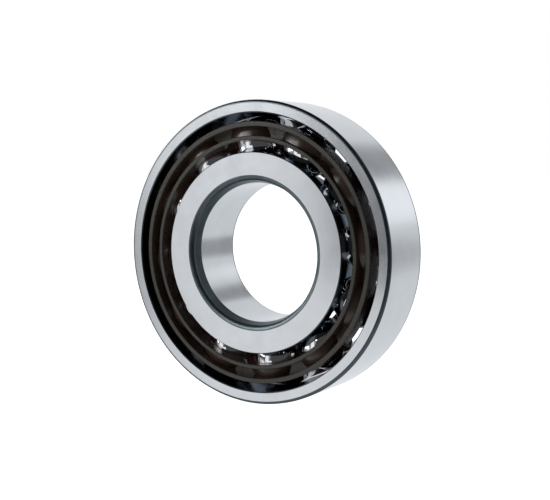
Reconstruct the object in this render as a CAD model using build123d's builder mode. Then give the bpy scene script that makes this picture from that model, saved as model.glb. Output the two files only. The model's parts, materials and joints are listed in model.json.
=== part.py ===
"""Single-row angular contact ball bearing, 60 x 130 x 31 mm, one solid for each separate piece.

The bearing turns about +Y. The origin is at the centre of the bore, half way along its width. The wide face
of the inner ring looks to -Y, which is called the front here, and the load-carrying outer shoulder is at +Y.
"""
import math
import os

from build123d import *

# Overall sizes, mm.
bore_d = 60.0
outer_d = 130.0
width = 31.0

# Rolling set.
ball_d = 22.225
ball_gap = 2.3
contact_angle = 40.0
first_ball_angle = 24.0

# Clearances.
race_play = 0.05
pocket_play = 0.29

# Raceways: groove radius over ball diameter, shoulder height over the groove's bottom, relieved lip.
inner_conformity = 0.52
outer_conformity = 0.53
inner_shoulder = 6.9
outer_shoulder = 6.4
lip_height = 0.28
outer_relief_flare = 1.1
inner_relief_flare = 1.1
edge_break = 0.4

# Corners of the rings, radial by axial.
outer_front_corner = (1.3, 1.5)
outer_back_corner = (2.3, 2.6)
bore_front_round = (2.2, 1.9)
bore_front_lead = (1.1, 3.2)
bore_back_corner = (1.2, 1.4)

# Cage, one moulding: two thin rims with an open channel between them in front, a solid ring behind.
rim_offset = 0.55
inner_rim_wall = 1.8
channel_gap = 4.05
outer_rim_wall = 2.1
rim_draft = 0.5
rim_recess = 0.3
rim_edge = 0.25
floor_offset = 8.5
cone_offset = 6.8
skin_wall = 2.1
back_ring_recess = 1.9
back_ring_edge = 0.8
mark_d = 3.0
mark_depth = 0.2
marked_every = 2

# Worked out from the sizes above.
half = width / 2
bore_r = bore_d / 2
outer_r = outer_d / 2
pitch_r = (bore_d + outer_d) / 4
ball_r = ball_d / 2
ball_count = int(math.pi * 2 * pitch_r / (ball_d + ball_gap))
ball_step = 360.0 / ball_count
angle = math.radians(contact_angle)

inner_groove_r = inner_conformity * ball_d
inner_throw = inner_groove_r - ball_r - race_play
inner_groove_x = pitch_r + inner_throw * math.cos(angle)
inner_groove_y = inner_throw * math.sin(angle)
inner_bottom_r = inner_groove_x - inner_groove_r
inner_shoulder_r = inner_bottom_r + inner_shoulder
inner_lip_r = inner_bottom_r + lip_height
inner_back_r = inner_lip_r - inner_relief_flare

outer_groove_r = outer_conformity * ball_d
outer_throw = outer_groove_r - ball_r - race_play
outer_groove_x = pitch_r - outer_throw * math.cos(angle)
outer_groove_y = -outer_throw * math.sin(angle)
outer_bottom_r = outer_groove_x + outer_groove_r
outer_shoulder_r = outer_bottom_r - outer_shoulder
outer_lip_r = outer_bottom_r - lip_height
outer_front_r = outer_lip_r + outer_relief_flare


def groove_reach(groove_r, groove_x, at_r):
    """Axial distance from a groove's centre to the point of its circle that has the radius at_r."""
    return math.sqrt(groove_r**2 - (at_r - groove_x) ** 2)


inner_shoulder_y = inner_groove_y - groove_reach(inner_groove_r, inner_groove_x, inner_shoulder_r)
inner_lip_y = inner_groove_y + groove_reach(inner_groove_r, inner_groove_x, inner_lip_r)
outer_shoulder_y = outer_groove_y + groove_reach(outer_groove_r, outer_groove_x, outer_shoulder_r)
outer_lip_y = outer_groove_y - groove_reach(outer_groove_r, outer_groove_x, outer_lip_r)

# Where each groove comes closest to the ball, on the line of the contact angle.
reach_x = math.cos(angle)
reach_y = math.sin(angle)
inner_contact = (inner_groove_x - inner_groove_r * reach_x, inner_groove_y - inner_groove_r * reach_y)
outer_contact = (outer_groove_x + outer_groove_r * reach_x, outer_groove_y + outer_groove_r * reach_y)

# Outer ring: thin relieved side in front, high shoulder behind.
with BuildPart() as outer_ring:
    with BuildSketch(Plane.XY):
        with BuildLine():
            corner = outer_front_corner
            Line((outer_front_r, -half), (outer_r - corner[0], -half))
            centre = (outer_r - corner[0], corner[1] - half)
            EllipticalCenterArc(centre, corner[0], corner[1], 270, arc_size=90)
            Line((outer_r, corner[1] - half), (outer_r, half - outer_back_corner[1]))
            corner = outer_back_corner
            centre = (outer_r - corner[0], half - corner[1])
            EllipticalCenterArc(centre, corner[0], corner[1], 0, arc_size=90)
            Line((outer_r - corner[0], half), (outer_shoulder_r + edge_break, half))
            Line((outer_shoulder_r + edge_break, half), (outer_shoulder_r, half - edge_break))
            Line((outer_shoulder_r, half - edge_break), (outer_shoulder_r, outer_shoulder_y))
            ThreePointArc(
                (outer_shoulder_r, outer_shoulder_y),
                outer_contact,
                (outer_lip_r, outer_lip_y),
            )
            Line((outer_lip_r, outer_lip_y), (outer_front_r, -half))
        make_face()
    revolve(axis=Axis.Y)
outer_ring.part.label = "outer ring"

# Inner ring: wide face and high shoulder in front, relieved side behind.
with BuildPart() as inner_ring:
    with BuildSketch(Plane.XY):
        with BuildLine():
            rise = bore_front_round[1]
            step = bore_r + bore_front_lead[0]
            face_r = step + bore_front_round[0]
            lead_y = rise + bore_front_lead[1] - half
            EllipticalCenterArc((face_r, rise - half), bore_front_round[0], rise, 180, arc_size=90)
            Line((face_r, -half), (inner_shoulder_r - edge_break, -half))
            Line((inner_shoulder_r - edge_break, -half), (inner_shoulder_r, edge_break - half))
            Line((inner_shoulder_r, edge_break - half), (inner_shoulder_r, inner_shoulder_y))
            ThreePointArc(
                (inner_shoulder_r, inner_shoulder_y),
                inner_contact,
                (inner_lip_r, inner_lip_y),
            )
            Line((inner_lip_r, inner_lip_y), (inner_back_r, half))
            corner = bore_back_corner
            Line((inner_back_r, half), (bore_r + corner[0], half))
            centre = (bore_r + corner[0], half - corner[1])
            EllipticalCenterArc(centre, corner[0], corner[1], 90, arc_size=90)
            Line((bore_r, half - corner[1]), (bore_r, lead_y))
            Line((bore_r, lead_y), (step, rise - half))
        make_face()
    revolve(axis=Axis.Y)
inner_ring.part.label = "inner ring"

# Cage. The front rims stand outside the pitch circle and the back ring inside it, joined by a conical web.
pocket_r = ball_r + pocket_play
skin_r = pocket_r + skin_wall
rim_in = pitch_r + rim_offset
channel_in = rim_in + inner_rim_wall
channel_out = channel_in + channel_gap
rim_out = channel_out + outer_rim_wall
ring_out = pitch_r - rim_offset
ring_in = ring_out - (rim_out - rim_in)
rim_foot = rim_out - rim_draft
rim_y = rim_recess - half
ring_y = half - back_ring_recess

# One pocket skin: the part of a ball-shaped shell that rises out of the channel's floor. It starts below the
# floor, and its sides end in the middle of the two rims' walls.
skin_in = rim_in + inner_rim_wall / 2
skin_out = (channel_out + rim_foot) / 2
skin_foot = 1 - floor_offset
with BuildPart() as pocket_skin:
    with Locations((pitch_r, 0, 0)):
        Sphere(skin_r)
    with BuildSketch(Plane.XY):
        with BuildLine():
            Polyline(
                (skin_in, skin_foot),
                (skin_in, -skin_r - 1),
                (skin_out, -skin_r - 1),
                (skin_out, skin_foot),
                close=True,
            )
        make_face()
    revolve(axis=Axis.Y, mode=Mode.INTERSECT)

with BuildPart() as cage:
    with BuildSketch(Plane.XY):
        with BuildLine():
            Polyline(
                (rim_in, rim_y + rim_edge),
                (rim_in, -cone_offset),
                (ring_in, cone_offset),
                (ring_in, ring_y - back_ring_edge),
                (ring_in + back_ring_edge, ring_y),
                (ring_out - back_ring_edge, ring_y),
                (ring_out, ring_y - back_ring_edge),
                (ring_out, cone_offset),
                (rim_foot, -cone_offset),
                (rim_out, rim_y + rim_edge),
                (rim_out - rim_edge, rim_y),
                (channel_out + rim_edge, rim_y),
                (channel_out, rim_y + rim_edge),
                (channel_out, -floor_offset),
                (channel_in, -floor_offset),
                (channel_in, rim_y + rim_edge),
                (channel_in - rim_edge, rim_y),
                (rim_in + rim_edge, rim_y),
                close=True,
            )
        make_face()
    revolve(axis=Axis.Y)
    for k in range(ball_count):
        add(pocket_skin.part.rotate(Axis.Y, first_ball_angle - 90 + k * ball_step))
    for k in range(ball_count):
        turn = math.radians(first_ball_angle + k * ball_step)
        spot = (pitch_r * math.sin(turn), 0, pitch_r * math.cos(turn))
        with Locations(Location(spot, (0, math.degrees(turn) - 90, 0))):
            Sphere(pocket_r, mode=Mode.SUBTRACT)
    mark_r = (channel_in + channel_out) / 2
    for k in range(0, ball_count, marked_every):
        turn = math.radians(first_ball_angle + (k - 0.5) * ball_step)
        spot = (mark_r * math.sin(turn), -floor_offset, mark_r * math.cos(turn))
        with BuildSketch(Plane(origin=spot, z_dir=(0, -1, 0))):
            Circle(mark_d / 2)
        extrude(amount=-mark_depth, mode=Mode.SUBTRACT)
cage.part.label = "cage"

# Balls.
balls = []
for k in range(ball_count):
    turn = math.radians(first_ball_angle + k * ball_step)
    with BuildPart() as ball:
        with Locations((pitch_r * math.sin(turn), 0, pitch_r * math.cos(turn))):
            Sphere(ball_r)
    ball.part.label = f"ball {k + 1:02d}"
    balls.append(ball)

os.makedirs("parts", exist_ok=True)
export_step(outer_ring.part, "parts/outer_ring.step")
export_step(inner_ring.part, "parts/inner_ring.step")
export_step(cage.part, "parts/cage.step")
for k, ball in enumerate(balls):
    export_step(ball.part, f"parts/ball_{k + 1:02d}.step")

print("balls", ball_count, "pitch radius", pitch_r)
print("inner ring: groove bottom", round(inner_bottom_r, 3), "shoulder", round(inner_shoulder_r, 3))
print("outer ring: groove bottom", round(outer_bottom_r, 3), "shoulder", round(outer_shoulder_r, 3))
print("cage: rims", round(rim_in, 2), round(rim_out, 2), "ring", round(ring_in, 2), round(ring_out, 2))
print("outer front face from", round(outer_front_r, 3), "inner back face to", round(inner_back_r, 3))
for name, piece in (("outer", outer_ring), ("inner", inner_ring), ("cage", cage)):
    solids = piece.part.solids()
    print(name, "solids", len(solids), "volume", round(piece.part.volume, 1), piece.part.is_valid)
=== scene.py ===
"""Angular contact ball bearing: rings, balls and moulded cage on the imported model, in a pale studio."""

import json
import logging
import math
from dataclasses import dataclass, field
from enum import Enum
from typing import Any, Dict, List, Tuple, Union

import bmesh
import bpy
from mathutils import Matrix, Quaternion, Vector

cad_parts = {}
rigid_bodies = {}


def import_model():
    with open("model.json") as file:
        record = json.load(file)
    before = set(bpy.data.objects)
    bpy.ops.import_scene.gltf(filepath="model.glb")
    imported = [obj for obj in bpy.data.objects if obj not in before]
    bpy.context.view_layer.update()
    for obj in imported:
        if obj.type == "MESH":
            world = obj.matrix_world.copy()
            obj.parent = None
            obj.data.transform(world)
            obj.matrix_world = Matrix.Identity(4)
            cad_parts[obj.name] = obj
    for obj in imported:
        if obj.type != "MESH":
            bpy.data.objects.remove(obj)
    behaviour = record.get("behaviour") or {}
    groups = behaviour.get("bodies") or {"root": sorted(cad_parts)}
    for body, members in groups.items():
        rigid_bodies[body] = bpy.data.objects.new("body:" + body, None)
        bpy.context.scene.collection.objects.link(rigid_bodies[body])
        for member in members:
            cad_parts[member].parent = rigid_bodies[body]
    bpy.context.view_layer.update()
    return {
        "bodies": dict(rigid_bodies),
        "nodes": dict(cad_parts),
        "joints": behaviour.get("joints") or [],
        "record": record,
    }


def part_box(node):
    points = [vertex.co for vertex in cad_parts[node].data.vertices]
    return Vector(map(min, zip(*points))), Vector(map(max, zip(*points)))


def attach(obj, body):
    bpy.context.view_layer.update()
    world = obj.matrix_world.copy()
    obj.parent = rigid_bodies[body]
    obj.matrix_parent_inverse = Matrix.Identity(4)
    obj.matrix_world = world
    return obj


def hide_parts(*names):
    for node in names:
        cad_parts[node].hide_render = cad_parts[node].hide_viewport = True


LOG = logging.getLogger("bearing")
MM = 0.001

Colour = Tuple[float, float, float]
Place = Tuple[float, float, float]
Point = Tuple[float, float]
Value = Union["Wire", float, int]

WHITE: Colour = (1.0, 1.0, 1.0)
# A ring's edge between two finishes is drawn sharp if it turns by more than this.
CREASE = math.radians(1.0)


def shade(colour: Colour, share: float) -> Colour:
    """The colour made darker or brighter by a factor."""
    red, green, blue = colour
    return (share * red, share * green, share * blue)


class Wire:
    """An output socket of a shader node that can be used in plain arithmetic."""

    def __init__(self, graph: "Graph", socket: Union[bpy.types.NodeSocket, None]) -> None:
        """Wraps one output socket.

        Args:
            graph: the node graph that the socket belongs to.
            socket: the output socket itself, or None after a node that has none.
        """
        self.graph = graph
        self.socket = socket

    def _math(self, operation: str, first: Value, second: Value = 0.0) -> "Wire":
        """Adds one Math node.

        Args:
            operation: the node's operation, as Blender names it.
            first: the first value or wire.
            second: the second value or wire, unused by operations of one value.

        Returns:
            The wire that carries the result.
        """
        return self.graph.add("ShaderNodeMath", {"operation": operation}, {0: first, 1: second})

    def __add__(self, other: Value) -> "Wire":
        """Sum of two values."""
        return self._math("ADD", self, other)

    def __radd__(self, other: Value) -> "Wire":
        """Sum with a number on the left."""
        return self._math("ADD", other, self)

    def __sub__(self, other: Value) -> "Wire":
        """Difference of two values."""
        return self._math("SUBTRACT", self, other)

    def __rsub__(self, other: Value) -> "Wire":
        """Difference with a number on the left."""
        return self._math("SUBTRACT", other, self)

    def __mul__(self, other: Value) -> "Wire":
        """Product of two values."""
        return self._math("MULTIPLY", self, other)

    def __rmul__(self, other: Value) -> "Wire":
        """Product with a number on the left."""
        return self._math("MULTIPLY", other, self)

    def root(self) -> "Wire":
        """Square root."""
        return self._math("SQRT", self)

    def modulo(self, other: Value) -> "Wire":
        """Remainder that is never below zero."""
        return self._math("FLOORED_MODULO", self, other)

    def most(self, other: Value) -> "Wire":
        """Greater of two values."""
        return self._math("MAXIMUM", self, other)

    def cosine(self) -> "Wire":
        """Cosine of an angle in radians."""
        return self._math("COSINE", self)

    def angle_to(self, other: Value) -> "Wire":
        """Angle of the point (other, self), in radians, by the two-argument arctangent."""
        return self._math("ARCTAN2", self, other)

    def ramp(self, low: float, high: float, out_low: float = 0.0, out_high: float = 1.0) -> "Wire":
        """Smooth step between two values.

        Args:
            low: where the step starts.
            high: where the step ends.
            out_low: result at and below low.
            out_high: result at and above high.

        Returns:
            The wire that carries the stepped value.
        """
        return self.graph.add(
            "ShaderNodeMapRange",
            {"interpolation_type": "SMOOTHSTEP"},
            {"Value": self, "From Min": low, "From Max": high, "To Min": out_low, "To Max": out_high},
            "Result",
        )


class Graph:
    """A node tree that is filled through one method."""

    def __init__(self, tree: bpy.types.NodeTree) -> None:
        """Empties a node tree.

        Args:
            tree: the tree of a material or a world.
        """
        self.tree = tree
        tree.nodes.clear()

    def add(
        self,
        kind: str,
        settings: Union[Dict[str, Any], None] = None,
        inputs: Union[Dict[Union[str, int], Any], None] = None,
        output: Union[str, int] = 0,
    ) -> Wire:
        """Adds any node.

        Args:
            kind: the node's type.
            settings: the node's attributes, set before its sockets.
            inputs: values, colours or wires, by socket name or number.
            output: the output socket to return, by name or number.

        Returns:
            The wire of the chosen output, without a socket if the node has no output.
        """
        node = self.tree.nodes.new(kind)
        for name, value in (settings or {}).items():
            setattr(node, name, value)
        for key, value in (inputs or {}).items():
            socket = node.inputs[key]
            if isinstance(value, Wire):
                self.tree.links.new(value.socket, socket)
            elif socket.type == "RGBA":
                socket.default_value = (*value, 1.0)
            else:
                socket.default_value = value
        return Wire(self, node.outputs[output] if len(node.outputs) else None)

    def mix(self, share: Value, first: Any, second: Any) -> Wire:
        """Mixes two colours.

        Args:
            share: 0 gives the first colour and 1 the second.
            first: a colour or a wire that carries one.
            second: a colour or a wire that carries one.

        Returns:
            The wire that carries the mixed colour.
        """
        return self.add("ShaderNodeMix", {"data_type": "RGBA"}, {0: share, 6: first, 7: second}, 2)

    def place(self) -> Wire:
        """Position on the piece, in metres, fixed to the piece as it moves."""
        return self.add("ShaderNodeTexCoord", None, None, "Object")

    def split(self, vector: Wire) -> Tuple[Wire, Wire, Wire]:
        """Splits a vector into its three parts.

        Args:
            vector: the wire that carries the vector.

        Returns:
            Wires for x, y and z.
        """
        first = self.add("ShaderNodeSeparateXYZ", None, {0: vector})
        outputs = first.socket.node.outputs
        return Wire(self, outputs[0]), Wire(self, outputs[1]), Wire(self, outputs[2])

    def round_axis(self, place: Wire, stretch: float) -> Wire:
        """Unrolls a position, so that noise on it makes marks that run round the Y axis.

        Args:
            place: the wire that carries the position.
            stretch: length that stands for one radian, in metres; the shorter it is, the longer the marks.

        Returns:
            The wire that carries (radius, y, turn times stretch).
        """
        x, y, z = self.split(place)
        radius = (x * x + z * z).root()
        return self.add("ShaderNodeCombineXYZ", None, {0: radius, 1: y, 2: x.angle_to(z) * stretch})

    def noise(self, vector: Wire, scale: float, detail: float) -> Wire:
        """Noise from 0 to 1.

        Args:
            vector: the position that it hangs on.
            scale: how many lumps fit in a metre.
            detail: how many finer layers are added.

        Returns:
            The wire that carries the noise.
        """
        return self.add("ShaderNodeTexNoise", None, {"Vector": vector, "Scale": scale, "Detail": detail})

    def bump(self, height: Wire, strength: float, distance: float) -> Wire:
        """Bends the normal.

        Args:
            height: the wire that carries the height, from 0 to 1.
            strength: how much of the bump shows.
            distance: height of the bump in metres.

        Returns:
            The wire that carries the normal.
        """
        inputs = {"Strength": strength, "Distance": distance, "Height": height}
        return self.add("ShaderNodeBump", None, inputs)

    def surface(self, look: Dict[Union[str, int], Any]) -> None:
        """Ends a material's graph.

        Args:
            look: values, colours or wires for the sockets of the Principled shader.
        """
        shader = self.add("ShaderNodeBsdfPrincipled", None, look)
        self.add("ShaderNodeOutputMaterial", None, {"Surface": shader})


@dataclass(frozen=True)
class Finish:
    """A surface finish: what every finish holds."""

    name: str
    colour: Colour
    roughness: float

    def material(self) -> bpy.types.Material:
        """Builds the finish's material.

        Returns:
            The new material.
        """
        made = bpy.data.materials.new(self.name)
        made.use_nodes = True
        self.dress(Graph(made.node_tree))
        return made

    def dress(self, graph: Graph) -> None:
        """Fills the material's graph.

        Args:
            graph: the empty graph.
        """
        raise NotImplementedError


@dataclass(frozen=True)
class GroundSteel(Finish):
    """Hardened steel that a grinding wheel has left satin, with fine marks that run round the axis."""

    mark_pitch: float = 0.12 * MM
    mark_stretch: float = 2.0 * MM
    mark_strength: float = 0.02
    mark_height: float = 0.01 * MM
    mark_rough: float = 0.12
    cloud_scale: float = 90.0
    cloud_rough: float = 0.10
    mottle: float = 0.05
    dark_share: float = 0.8

    def dress(self, graph: Graph) -> None:
        """Fills the material's graph.

        Args:
            graph: the empty graph.
        """
        place = graph.place()
        marks = graph.noise(graph.round_axis(place, self.mark_stretch), 1.0 / self.mark_pitch, 3.0)
        cloud = graph.noise(place, self.cloud_scale, 4.0)
        bright = marks * self.mottle + cloud * (2.0 * self.mottle) + (1.0 - 1.5 * self.mottle)
        colour = graph.mix(bright.ramp(0.9, 1.1), shade(self.colour, self.dark_share), self.colour)
        rough = self.roughness + (marks - 0.5) * self.mark_rough + (cloud - 0.5) * self.cloud_rough
        normal = graph.bump(marks, self.mark_strength, self.mark_height)
        graph.surface({"Base Color": colour, "Metallic": 1.0, "Roughness": rough, "Normal": normal})


@dataclass(frozen=True)
class TurnedCorner(Finish):
    """A corner left as it was turned and hardened: dark and dull, with the tool's fine feed lines.

    The edge tint dims what it mirrors when it is seen at a grazing angle.
    """

    feed: float = 0.15 * MM
    feed_stretch: float = 1.0 * MM
    feed_strength: float = 0.08
    feed_height: float = 0.02 * MM
    cloud_scale: float = 160.0
    cloud_rough: float = 0.15
    dark_share: float = 0.7
    edge_tint: Colour = (0.18, 0.20, 0.22)

    def dress(self, graph: Graph) -> None:
        """Fills the material's graph.

        Args:
            graph: the empty graph.
        """
        place = graph.place()
        lines = graph.noise(graph.round_axis(place, self.feed_stretch), 1.0 / self.feed, 2.0)
        cloud = graph.noise(place, self.cloud_scale, 3.0)
        blend = (0.5 * lines + 0.5 * cloud).ramp(0.3, 0.7)
        graph.surface(
            {
                "Base Color": graph.mix(blend, shade(self.colour, self.dark_share), self.colour),
                "Metallic": 1.0,
                "Roughness": self.roughness + (cloud - 0.5) * self.cloud_rough,
                "Specular Tint": self.edge_tint,
                "Normal": graph.bump(lines, self.feed_strength, self.feed_height),
            }
        )


@dataclass(frozen=True)
class PolishedSteel(Finish):
    """Honed raceway, lapped ball or fine-turned land: a mirror, a little duller where preserving oil lies.

    The edge tint dims what it mirrors when it is seen at a grazing angle.
    """

    oil_rough: float = 0.04
    oil_scale: float = 260.0
    oil_share: float = 0.93
    edge_tint: Colour = WHITE

    def dress(self, graph: Graph) -> None:
        """Fills the material's graph.

        Args:
            graph: the empty graph.
        """
        oil = graph.noise(graph.place(), self.oil_scale, 2.0)
        colour = graph.mix(oil.ramp(0.35, 0.65), shade(self.colour, self.oil_share), self.colour)
        rough = self.roughness + oil.ramp(0.45, 0.75, 0.0, self.oil_rough)
        look = {"Base Color": colour, "Metallic": 1.0, "Roughness": rough, "Specular Tint": self.edge_tint}
        graph.surface(look)


@dataclass(frozen=True)
class MouldedPolymer(Finish):
    """Glass-fibre filled cage polymer: olive brown at the rims, redder behind them, and a bright red painted
    on the pocket walls as painted light, standing in for light glowing through the polymer.

    The pockets are parts of spheres on a pitch circle. The first one stands at an angle from +Z towards +X.
    """

    count: int
    first: float
    pitch_r: float
    pocket_r: float
    front: float
    deep: Colour = (0.026, 0.0155, 0.0105)
    # Painted light: the bright red of the pocket walls stands in for light glowing through the polymer.
    pocket: Colour = (0.16, 0.03, 0.02)
    fibre: Colour = (0.10, 0.09, 0.07)
    fibre_share: float = 0.35
    rim_depth: Point = (0.5 * MM, 1.9 * MM)
    pocket_skin: Point = (0.1 * MM, 0.4 * MM)
    cloud_scale: float = 120.0
    cloud_rough: float = 0.12
    bright_share: float = 1.2
    grain_scale: float = 2600.0
    grain_rough: float = 0.2
    grain_strength: float = 0.12
    grain_height: float = 0.02 * MM
    shine: float = 0.45

    def dress(self, graph: Graph) -> None:
        """Fills the material's graph.

        Args:
            graph: the empty graph.
        """
        place = graph.place()
        _, y, _ = graph.split(place)
        away = self._pocket_distance(graph, place)
        cloud = graph.noise(place, self.cloud_scale, 4.0)
        grain = graph.noise(place, self.grain_scale, 2.0)
        near, far = self.rim_depth
        rim = graph.mix(cloud.ramp(0.35, 0.65), self.colour, shade(self.colour, self.bright_share))
        outside = graph.mix(y.ramp(self.front + near, self.front + far), rim, self.deep)
        flecked = graph.mix(grain.ramp(0.62, 0.80) * self.fibre_share, outside, self.fibre)
        # Painted light: close to each pocket's wall the colour turns to the bright pocket red.
        low, high = self.pocket_skin
        pocket_glow_mask = away.ramp(self.pocket_r + low, self.pocket_r + high, 1.0, 0.0)
        rough = self.roughness + (grain - 0.5) * self.grain_rough + (cloud - 0.5) * self.cloud_rough
        graph.surface(
            {
                "Base Color": graph.mix(pocket_glow_mask, flecked, self.pocket),
                "Roughness": rough,
                "Normal": graph.bump(grain, self.grain_strength, self.grain_height),
                "Specular IOR Level": self.shine,
            }
        )

    def _pocket_distance(self, graph: Graph, place: Wire) -> Wire:
        """Measures how far a point is from the nearest pocket's centre.

        Args:
            graph: the material's graph.
            place: the wire that carries the point.

        Returns:
            The wire that carries the distance in metres.
        """
        x, y, z = graph.split(place)
        span = x * x + z * z
        step = 2.0 * math.pi / self.count
        folded = (x.angle_to(z) - (self.first - step / 2.0)).modulo(step) - step / 2.0
        return (span + self.pitch_r**2 - span.root() * folded.cosine() * (2.0 * self.pitch_r) + y * y).root()


class Zone(Enum):
    """What was done to each band of a ring's section."""

    FACE = GroundSteel("ground side face", (0.622, 0.648, 0.678), 0.17, mottle=0.09)
    SEAT = GroundSteel("ground seat", (0.63, 0.648, 0.668), 0.15, mark_pitch=0.2 * MM)
    CORNER = TurnedCorner("turned corner", (0.115, 0.138, 0.152), 0.40)
    LEAD = TurnedCorner("turned lead", (0.115, 0.140, 0.152), 0.36, edge_tint=(0.95, 0.97, 1.0))
    RACE = PolishedSteel("honed raceway", (0.60, 0.61, 0.63), 0.05)
    # The lands are fine-turned mirrors, but their steel is painted far darker than steel and given a dark
    # edge tint: painted shade on these surfaces deep between the rings, the balls and the cage.
    LAND = PolishedSteel("turned land", (0.16, 0.175, 0.19), 0.14, edge_tint=(0.36, 0.38, 0.41))


@dataclass
class Section:
    """The closed outline of a ring, gathered run by run as (radius, axial) points in millimetres.

    Each run starts at a crease, and each part of it, from its point to the next one, has a zone.
    """

    points: List[Point] = field(default_factory=list)
    zones: List[Zone] = field(default_factory=list)
    creases: List[int] = field(default_factory=list)

    def line(self, zone: Zone, start: Point, end: Point, steps: int = 1) -> None:
        """Adds a straight run; its end belongs to the next run.

        Args:
            zone: the finish of the run.
            start: first point.
            end: last point.
            steps: how many parts the run is cut into.
        """
        self.creases.append(len(self.points))
        for k in range(steps):
            share = k / steps
            radial = start[0] + (end[0] - start[0]) * share
            axial = start[1] + (end[1] - start[1]) * share
            self.points.append((radial, axial))
            self.zones.append(zone)

    def arc(self, zone: Zone, centre: Point, radii: Point, start: float, end: float, steps: int) -> None:
        """Adds a run along an ellipse or a circle.

        Args:
            zone: the finish of the run.
            centre: centre of the arc.
            radii: radial and axial half-axes.
            start: start angle in degrees, from the outward radius towards +Y.
            end: end angle in degrees.
            steps: how many parts the run is cut into.
        """
        self.creases.append(len(self.points))
        for k in range(steps):
            turn = math.radians(start + (end - start) * k / steps)
            radial = centre[0] + radii[0] * math.cos(turn)
            axial = centre[1] + radii[1] * math.sin(turn)
            self.points.append((radial, axial))
            self.zones.append(zone)

    def lathe(self, name: str, around: int) -> bpy.types.Object:
        """Turns the outline round the Y axis.

        Args:
            name: name of the new object.
            around: how many segments go round.

        Returns:
            The ring, smooth shaded, with sharp creases between its runs and one material slot for each zone.
        """
        mesh = bpy.data.meshes.new(name)
        ring = bpy.data.objects.new(name, mesh)
        bpy.context.scene.collection.objects.link(ring)
        used = list(dict.fromkeys(self.zones))
        for zone in used:
            mesh.materials.append(zone.value.material())
        form = bmesh.new()
        count = len(self.points)
        rows = []
        for k in range(around):
            turn = 2.0 * math.pi * k / around
            across, up = MM * math.sin(turn), MM * math.cos(turn)
            rows.append([form.verts.new((r * across, y * MM, r * up)) for r, y in self.points])
        for k in range(around):
            here, there = rows[k], rows[(k + 1) % around]
            for i in range(count):
                j = (i + 1) % count
                face = form.faces.new((here[i], here[j], there[j], there[i]))
                face.smooth = True
                face.material_index = used.index(self.zones[i])
        form.normal_update()
        for k in range(around):
            here, there = rows[k], rows[(k + 1) % around]
            for i in self.creases:
                edge = form.edges.get((here[i], there[i]))
                if edge and edge.calc_face_angle(0.0) > CREASE:
                    edge.smooth = False
        bmesh.ops.recalc_face_normals(form, faces=form.faces)
        form.to_mesh(mesh)
        form.free()
        return ring


@dataclass(frozen=True)
class Sizes:
    """Shared sizes, in millimetres and radians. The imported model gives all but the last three."""

    half: float
    bore_r: float
    outer_r: float
    ball_r: float
    ball_count: int
    first_ball: float
    contact: float = math.radians(40.0)
    race_play: float = 0.05
    pocket_play: float = 0.29

    @classmethod
    def of_frame(cls, frame: Dict[str, Any]) -> "Sizes":
        """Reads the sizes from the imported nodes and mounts.


        Returns:
            The sizes.
        """
        low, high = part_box("outer_ring")
        ball_low, ball_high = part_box("ball_01")
        bore = next(mount for mount in frame["record"]["mounts"] if mount["name"] == "bore")
        centre = (ball_low + ball_high) / 2.0
        return cls(
            half=round((high.y - low.y) / MM / 2.0, 3),
            bore_r=float(bore["dims"]["r_mm"]),
            outer_r=round((high.z - low.z) / MM / 2.0, 1),
            ball_r=round((ball_high.y - ball_low.y) / MM / 2.0, 3),
            ball_count=sum(name.startswith("ball_") for name in frame["nodes"]),
            first_ball=math.radians(round(math.degrees(math.atan2(centre.x, centre.z)), 1)),
        )

    @property
    def pitch_r(self) -> float:
        """Radius of the circle on which the balls' centres stand."""
        return (self.bore_r + self.outer_r) / 2.0


@dataclass(frozen=True)
class Groove:
    """A raceway's circle in a ring's section, in millimetres."""

    centre: Point
    radius: float

    @classmethod
    def beside(cls, sizes: Sizes, conformity: float, side: float) -> "Groove":
        """Places a groove that clears the ball by the raceway's play on the contact line.

        Args:
            sizes: the shared sizes.
            conformity: groove radius over ball diameter.
            side: 1 for the inner ring, whose groove's centre lies outwards and towards +Y, else -1.

        Returns:
            The groove.
        """
        radius = conformity * 2.0 * sizes.ball_r
        throw = side * (radius - sizes.ball_r - sizes.race_play)
        return cls((sizes.pitch_r + throw * math.cos(sizes.contact), throw * math.sin(sizes.contact)), radius)

    def turn_to(self, at_r: float) -> float:
        """Angle in degrees, from the outward radius towards +Y, of the circle's point at a given radius."""
        return math.degrees(math.acos((at_r - self.centre[0]) / self.radius))

    def height(self, turn: float) -> float:
        """Axial place of the circle's point at an angle in degrees."""
        return self.centre[1] + self.radius * math.sin(math.radians(turn))


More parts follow.
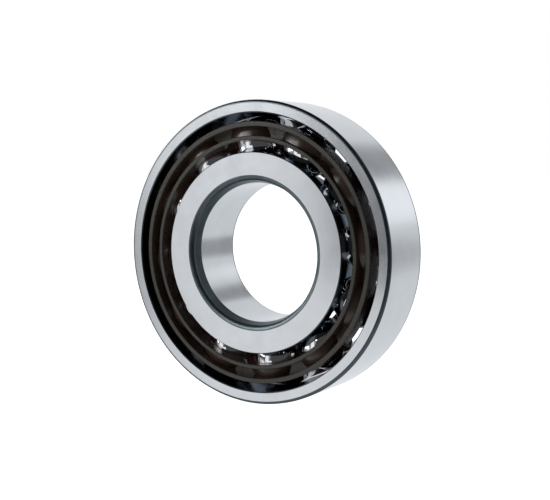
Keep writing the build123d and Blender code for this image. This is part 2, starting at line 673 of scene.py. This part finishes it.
@dataclass
class OuterRing:
    """The outer ring: thin relieved side in front, high shoulder behind. Sizes in millimetres.

    The shoulder and the lip stand in from the groove's bottom, and the relief opens from the lip by its
    flare. Corners are radial by axial.
    """

    sizes: Sizes
    conformity: float = 0.53
    shoulder: float = 6.4
    lip: float = 0.28
    flare: float = 1.1
    edge: float = 0.4
    lip_edge: float = 0.45
    front_corner: Point = (1.3, 1.5)
    back_corner: Point = (2.3, 2.6)
    around: int = 360

    def build(self) -> bpy.types.Object:
        """Turns the ring and hangs it on its body.

        Returns:
            The ring.
        """
        half = self.sizes.half
        rim = self.sizes.outer_r
        groove = Groove.beside(self.sizes, self.conformity, -1.0)
        bottom = groove.centre[0] + groove.radius
        shoulder_r = bottom - self.shoulder
        lip_r = bottom - self.lip
        front_r = lip_r + self.flare
        shoulder_turn = groove.turn_to(shoulder_r)
        lip_turn = -groove.turn_to(lip_r)
        shoulder_y = groove.height(shoulder_turn)
        lip_y = groove.height(lip_turn)
        front = self.front_corner
        back = self.back_corner
        lip_edge = self.lip_edge
        cut = Section()
        cut.line(Zone.LEAD, (front_r, -half + lip_edge), (front_r + lip_edge, -half))
        cut.line(Zone.FACE, (front_r + lip_edge, -half), (rim - front[0], -half), 3)
        cut.arc(Zone.CORNER, (rim - front[0], front[1] - half), front, -90.0, 0.0, 10)
        cut.line(Zone.SEAT, (rim, front[1] - half), (rim, half - back[1]), 6)
        cut.arc(Zone.CORNER, (rim - back[0], half - back[1]), back, 0.0, 90.0, 12)
        cut.line(Zone.FACE, (rim - back[0], half), (shoulder_r + self.edge, half), 4)
        cut.line(Zone.CORNER, (shoulder_r + self.edge, half), (shoulder_r, half - self.edge))
        cut.line(Zone.LAND, (shoulder_r, half - self.edge), (shoulder_r, shoulder_y), 3)
        cut.arc(Zone.RACE, groove.centre, (groove.radius, groove.radius), shoulder_turn, lip_turn, 48)
        cut.line(Zone.LAND, (lip_r, lip_y), (front_r, -half + lip_edge), 6)
        ring = cut.lathe("outer_ring_turned", self.around)
        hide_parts("outer_ring")
        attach(ring, "outer_ring_body")
        LOG.info("outer ring: groove %.2f, shoulder radius %.2f", groove.radius, shoulder_r)
        return ring


@dataclass
class InnerRing:
    """The inner ring: wide face and high shoulder in front, relieved side behind. Sizes in millimetres.

    The shoulder and the lip stand out from the groove's bottom, and the relief drops from the lip by its
    flare. The bore's front corner is a round with a straight lead behind it. Corners are radial by axial.
    """

    sizes: Sizes
    conformity: float = 0.52
    shoulder: float = 6.9
    lip: float = 0.28
    flare: float = 1.1
    edge: float = 0.4
    front_round: Point = (2.2, 1.9)
    front_lead: Point = (1.1, 3.2)
    back_corner: Point = (1.2, 1.4)
    around: int = 320

    def build(self) -> bpy.types.Object:
        """Turns the ring and hangs it on its body.

        Returns:
            The ring.
        """
        half = self.sizes.half
        bore = self.sizes.bore_r
        groove = Groove.beside(self.sizes, self.conformity, 1.0)
        bottom = groove.centre[0] - groove.radius
        shoulder_r = bottom + self.shoulder
        lip_r = bottom + self.lip
        back_r = lip_r - self.flare
        shoulder_turn = 360.0 - groove.turn_to(shoulder_r)
        lip_turn = groove.turn_to(lip_r)
        shoulder_y = groove.height(shoulder_turn)
        lip_y = groove.height(lip_turn)
        step = bore + self.front_lead[0]
        face_r = step + self.front_round[0]
        rise = self.front_round[1]
        lead_y = rise + self.front_lead[1] - half
        back = self.back_corner
        cut = Section()
        cut.line(Zone.LEAD, (bore, lead_y), (step, rise - half), 2)
        cut.arc(Zone.CORNER, (face_r, rise - half), self.front_round, 180.0, 270.0, 12)
        cut.line(Zone.FACE, (face_r, -half), (shoulder_r - self.edge, -half), 5)
        cut.line(Zone.CORNER, (shoulder_r - self.edge, -half), (shoulder_r, self.edge - half))
        cut.line(Zone.LAND, (shoulder_r, self.edge - half), (shoulder_r, shoulder_y), 3)
        cut.arc(Zone.RACE, groove.centre, (groove.radius, groove.radius), shoulder_turn, lip_turn, 48)
        cut.line(Zone.LAND, (lip_r, lip_y), (back_r, half), 6)
        cut.line(Zone.FACE, (back_r, half), (bore + back[0], half), 3)
        cut.arc(Zone.CORNER, (bore + back[0], half - back[1]), back, 90.0, 180.0, 8)
        cut.line(Zone.SEAT, (bore, half - back[1]), (bore, lead_y), 6)
        ring = cut.lathe("inner_ring_turned", self.around)
        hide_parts("inner_ring")
        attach(ring, "inner_ring_body")
        LOG.info("inner ring: groove %.2f, shoulder radius %.2f", groove.radius, shoulder_r)
        return ring


@dataclass
class BallSet:
    """The lapped balls, as packed, in their polished finish."""

    nodes: Dict[str, bpy.types.Object]
    finish: PolishedSteel = PolishedSteel("lapped ball", (0.74, 0.75, 0.77), 0.03, oil_rough=0.03)

    def build(self) -> List[bpy.types.Object]:
        """Dresses every ball.

        Returns:
            The balls.
        """
        made = self.finish.material()
        balls = [node for name, node in sorted(self.nodes.items()) if name.startswith("ball_")]
        for ball in balls:
            ball.data.materials.clear()
            ball.data.materials.append(made)
            LOG.info("ball %s dressed", ball.name)
        return balls


@dataclass
class Cage:
    """The moulded window cage, as packed, in its polymer."""

    sizes: Sizes
    node: bpy.types.Object
    colour: Colour = (0.0155, 0.0140, 0.0105)
    roughness: float = 0.26

    def build(self) -> bpy.types.Object:
        """Dresses the cage.

        Returns:
            The cage.
        """
        s = self.sizes
        finish = MouldedPolymer(
            "cage polymer",
            self.colour,
            self.roughness,
            count=s.ball_count,
            first=s.first_ball,
            pitch_r=s.pitch_r * MM,
            pocket_r=(s.ball_r + s.pocket_play) * MM,
            front=-s.half * MM,
        )
        self.node.data.materials.clear()
        self.node.data.materials.append(finish.material())
        LOG.info("cage dressed, %d pockets", s.ball_count)
        return self.node


@dataclass(frozen=True)
class Softbox:
    """A rectangular light, in metres, that faces the middle of the bearing or looks straight along +Y.

    It is rolled about its line of sight by an angle in degrees, and its glow is the brightness of its face.
    """

    name: str
    place: Place
    size: Point
    glow: float
    straight: bool = False
    roll: float = 0.0

    def build(self) -> bpy.types.Object:
        """Adds the light.

        Returns:
            The light object.
        """
        lamp = bpy.data.lights.new(self.name, "AREA")
        lamp.shape = "RECTANGLE"
        lamp.size, lamp.size_y = self.size
        lamp.energy = self.glow * self.size[0] * self.size[1] * math.pi
        place = Vector(self.place)
        aim = Vector((place.x, 0.0, place.z)) if self.straight else Vector((0.0, 0.0, 0.0))
        facing = (aim - place).to_track_quat("-Z", "Y")
        rolled = facing @ Quaternion((0.0, 0.0, 1.0), math.radians(self.roll))
        thing = bpy.data.objects.new(self.name, lamp)
        thing.location = place
        thing.rotation_euler = rolled.to_euler()
        bpy.context.scene.collection.objects.link(thing)
        LOG.info("light %s", self.name)
        return thing


@dataclass(frozen=True)
class Patch:
    """A soft patch of light or shade on the studio's far walls; angles in degrees.

    Its bearing counts from the front (-Y) towards +X. It is full within its core and gone beyond its reach.
    """

    bearing: float
    height: float
    core: float
    reach: float
    change: float

    def direction(self) -> Vector:
        """Direction of the patch's centre."""
        a, e = math.radians(self.bearing), math.radians(self.height)
        return Vector((math.sin(a) * math.cos(e), -math.cos(a) * math.cos(e), math.sin(e)))


@dataclass(frozen=True)
class Viewpoint:
    """The camera: a long lens that looks at the front face from the right and a little above, in metres.

    Its aim stands a little aside of the face's centre and above it, as the camera sees them.
    """

    half: float
    turn: float = math.radians(31.72)
    rise: float = math.radians(5.05)
    distance: float = 0.45825
    aside: float = 0.00984
    above: float = 0.00142
    lens: float = 70.5
    sensor: float = 36.0

    def build(self) -> bpy.types.Object:
        """Adds the camera and makes it the scene's.

        Returns:
            The camera.
        """
        flat = math.cos(self.rise)
        away = Vector((math.sin(self.turn) * flat, -math.cos(self.turn) * flat, math.sin(self.rise)))
        right = Vector((math.cos(self.turn), math.sin(self.turn), 0.0))
        up = right.cross(-away)
        aim = Vector((0.0, -self.half, 0.0)) + right * self.aside + up * self.above
        lens = bpy.data.cameras.new("camera")
        lens.lens = self.lens
        lens.sensor_width = self.sensor
        lens.clip_start = 0.01
        camera = bpy.data.objects.new("camera", lens)
        camera.location = aim + away * self.distance
        camera.rotation_euler = (-away).to_track_quat("-Z", "Y").to_euler()
        bpy.context.scene.collection.objects.link(camera)
        bpy.context.scene.camera = camera
        bpy.context.scene.view_settings.view_transform = "Standard"
        return camera


@dataclass(frozen=True)
class Studio:
    """Pale floor, bright walls behind, a dark room in front, and softboxes on the left and in front.

    A band holds the two parts of the sight's direction between which a change runs: along +Y for the walls,
    and along +Z for the ceiling and the table.
    """

    sizes: Sizes
    front_level: float = 0.07
    back_level: float = 0.92
    wall_band: Point = (0.20, 0.50)
    ceiling_share: float = 0.15
    ceiling_band: Point = (0.68, 0.84)
    table_level: float = 0.80
    table_band: Point = (-0.66, -0.40)
    tint: Colour = (0.972, 1.0, 1.03)
    floor_reach: float = 4.0
    floor_colour: Colour = (0.6, 0.6, 0.6)
    floor_glow: float = 0.97
    patches: Tuple[Patch, ...] = (
        Patch(170.0, 29.0, 3.0, 12.0, -0.54),
        Patch(157.0, 15.0, 3.0, 11.0, 0.40),
        Patch(147.0, -5.0, 4.0, 12.0, -0.46),
        Patch(-62.0, -24.0, 10.0, 28.0, 0.60),
    )
    softboxes: Tuple[Softbox, ...] = (
        Softbox("softbox front left", (-0.3555, -0.515, -0.03), (0.24, 0.52), 1.0, straight=True, roll=9.0),
        Softbox("softbox front low", (-0.16, -0.515, -0.185), (0.14, 0.22), 0.95, straight=True),
        Softbox("softbox front dim", (-0.208, -0.515, 0.03), (0.10, 0.13), 0.27, straight=True),
        Softbox("softbox left", (-0.66, -0.16, 0.20), (0.75, 0.34), 2.6),
        Softbox("softbox high front", (-0.39, -0.50, 0.296), (0.54, 0.27), 5.0),
        Softbox("softbox low left", (-0.632, -0.23, -0.193), (0.30, 0.14), 2.6),
    )

    def build(self) -> None:
        """Builds the floor, the world, the lights and the camera."""
        self._floor()
        self._world()
        for softbox in self.softboxes:
            softbox.build()
        Viewpoint(self.sizes.half * MM).build()

    def _floor(self) -> None:
        """Adds the plain pale floor. The steel mirrors the world's table level instead of it."""
        low = -self.sizes.outer_r * MM
        far = self.floor_reach
        corners = [(-far, -far, low), (far, -far, low), (far, far, low), (-far, far, low)]
        mesh = bpy.data.meshes.new("floor")
        mesh.from_pydata(corners, [], [(0, 1, 2, 3)])
        floor = bpy.data.objects.new("floor", mesh)
        bpy.context.scene.collection.objects.link(floor)
        floor.visible_glossy = False
        floor.visible_shadow = False
        made = bpy.data.materials.new("pale floor")
        made.use_nodes = True
        Graph(made.node_tree).surface(
            {
                "Base Color": self.floor_colour,
                "Roughness": 0.9,
                "Emission Color": WHITE,
                "Emission Strength": self.floor_glow,
            }
        )
        mesh.materials.append(made)

    def _world(self) -> None:
        """Lights the surroundings by direction; the camera itself sees them plain white."""
        world = bpy.data.worlds.new("studio")
        bpy.context.scene.world = world
        world.use_nodes = True
        graph = Graph(world.node_tree)
        look = graph.add("ShaderNodeTexCoord", None, None, "Generated")
        _, y, z = graph.split(look)
        walls = y.ramp(*self.wall_band, self.front_level, self.back_level)
        ceiling = z.ramp(*self.ceiling_band, 1.0, self.ceiling_share)
        level = (walls * ceiling).most(z.ramp(*self.table_band, self.table_level, 0.0))
        for patch in self.patches:
            ends = {0: look, 1: tuple(patch.direction())}
            spot = graph.add("ShaderNodeVectorMath", {"operation": "DOT_PRODUCT"}, ends, "Value")
            edge, full = math.cos(math.radians(patch.reach)), math.cos(math.radians(patch.core))
            level = level + spot.ramp(edge, full, 0.0, patch.change)
        red, green, blue = self.tint
        colour = graph.add("ShaderNodeCombineXYZ", None, {0: level * red, 1: level * green, 2: level * blue})
        studio = graph.add("ShaderNodeBackground", None, {"Color": colour, "Strength": 1.0})
        plain = graph.add("ShaderNodeBackground", None, {"Color": WHITE, "Strength": 1.0})
        seen = graph.add("ShaderNodeLightPath", None, None, "Is Camera Ray")
        both = graph.add("ShaderNodeMixShader", None, {0: seen, 1: studio, 2: plain})
        graph.add("ShaderNodeOutputWorld", None, {"Surface": both})


def main() -> None:
    """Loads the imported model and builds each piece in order."""
    logging.basicConfig(level=logging.INFO, format="%(name)s: %(message)s")
    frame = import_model()
    sizes = Sizes.of_frame(frame)
    OuterRing(sizes).build()
    InnerRing(sizes).build()
    Cage(sizes, frame["nodes"]["cage"]).build()
    BallSet(frame["nodes"]).build()
    Studio(sizes).build()


if __name__ == "__main__":
    main()
